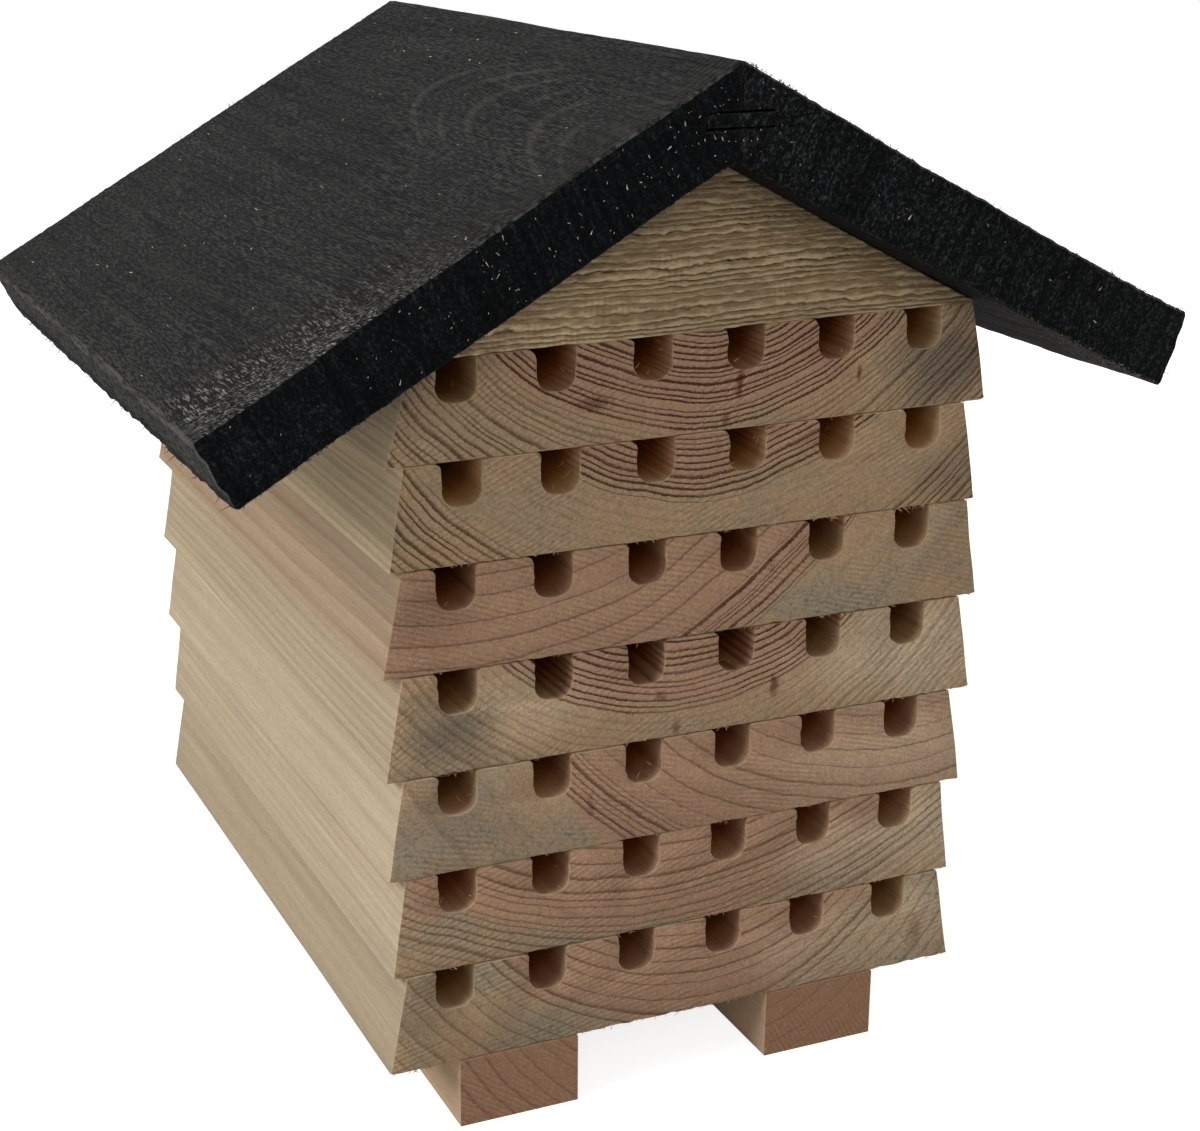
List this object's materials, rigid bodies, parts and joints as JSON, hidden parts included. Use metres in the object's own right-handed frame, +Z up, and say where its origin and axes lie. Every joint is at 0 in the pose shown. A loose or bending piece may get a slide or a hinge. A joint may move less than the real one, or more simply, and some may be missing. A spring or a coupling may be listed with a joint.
{
  "type": "bee hotel",
  "caption": "Garden bee hotel: a stack of lift-off softwood nesting trays with U-shaped channels, tapered sides, two runner feet and a black-stained gable roof.",
  "frame": {"origin": "on the ground, under the middle of the roof's box", "axes": "+Z up, -Y towards the front with the channel mouths, +X to the right seen from the front"},
  "size_m": [0.207, 0.19, 0.2133],
  "materials": {
    "tray_softwood": "sawn and lightly planed, unfinished",
    "foot_softwood": "planed, unfinished",
    "gable_sawn_wood": "rough-sawn, unfinished",
    "roof_black_wood": "rough-sawn, black stain, matt",
    "dowel_beech": "smooth, unfinished",
    "screw_steel": "zinc plated"
  },
  "bodies": {
    "base": {"tray_1": "tray_softwood", "dowels_1": "dowel_beech", "foot_left": "foot_softwood", "foot_right": "foot_softwood", "foot_screws": "screw_steel"},
    "tray_2_body": {"tray_2": "tray_softwood", "dowels_2": "dowel_beech"},
    "tray_3_body": {"tray_3": "tray_softwood", "dowels_3": "dowel_beech"},
    "tray_4_body": {"tray_4": "tray_softwood", "dowels_4": "dowel_beech"},
    "tray_5_body": {"tray_5": "tray_softwood", "dowels_5": "dowel_beech"},
    "tray_6_body": {"tray_6": "tray_softwood", "dowels_6": "dowel_beech"},
    "tray_7_body": {"tray_7": "tray_softwood", "dowels_7": "dowel_beech"},
    "roof": {"roof_board_left": "roof_black_wood", "roof_board_right": "roof_black_wood", "ridge_spline": "roof_black_wood", "gable_front": "gable_sawn_wood", "gable_back": "gable_sawn_wood", "ceiling_board": "gable_sawn_wood", "roof_brads_left": "screw_steel", "roof_brads_right": "screw_steel"}
  },
  "joints": [
    {"name": "tray_2_lift", "type": "slide", "parent": "base", "child": "tray_2_body", "axis": [0, 0, 1], "range_m": [0, 0.03]},
    {"name": "tray_3_lift", "type": "slide", "parent": "tray_2_body", "child": "tray_3_body", "axis": [0, 0, 1], "range_m": [0, 0.03]},
    {"name": "tray_4_lift", "type": "slide", "parent": "tray_3_body", "child": "tray_4_body", "axis": [0, 0, 1], "range_m": [0, 0.03]},
    {"name": "tray_5_lift", "type": "slide", "parent": "tray_4_body", "child": "tray_5_body", "axis": [0, 0, 1], "range_m": [0, 0.03]},
    {"name": "tray_6_lift", "type": "slide", "parent": "tray_5_body", "child": "tray_6_body", "axis": [0, 0, 1], "range_m": [0, 0.03]},
    {"name": "tray_7_lift", "type": "slide", "parent": "tray_6_body", "child": "tray_7_body", "axis": [0, 0, 1], "range_m": [0, 0.03]},
    {"name": "roof_lift", "type": "slide", "parent": "tray_7_body", "child": "roof", "axis": [0, 0, 1], "range_m": [0, 0.06]}
  ]
}
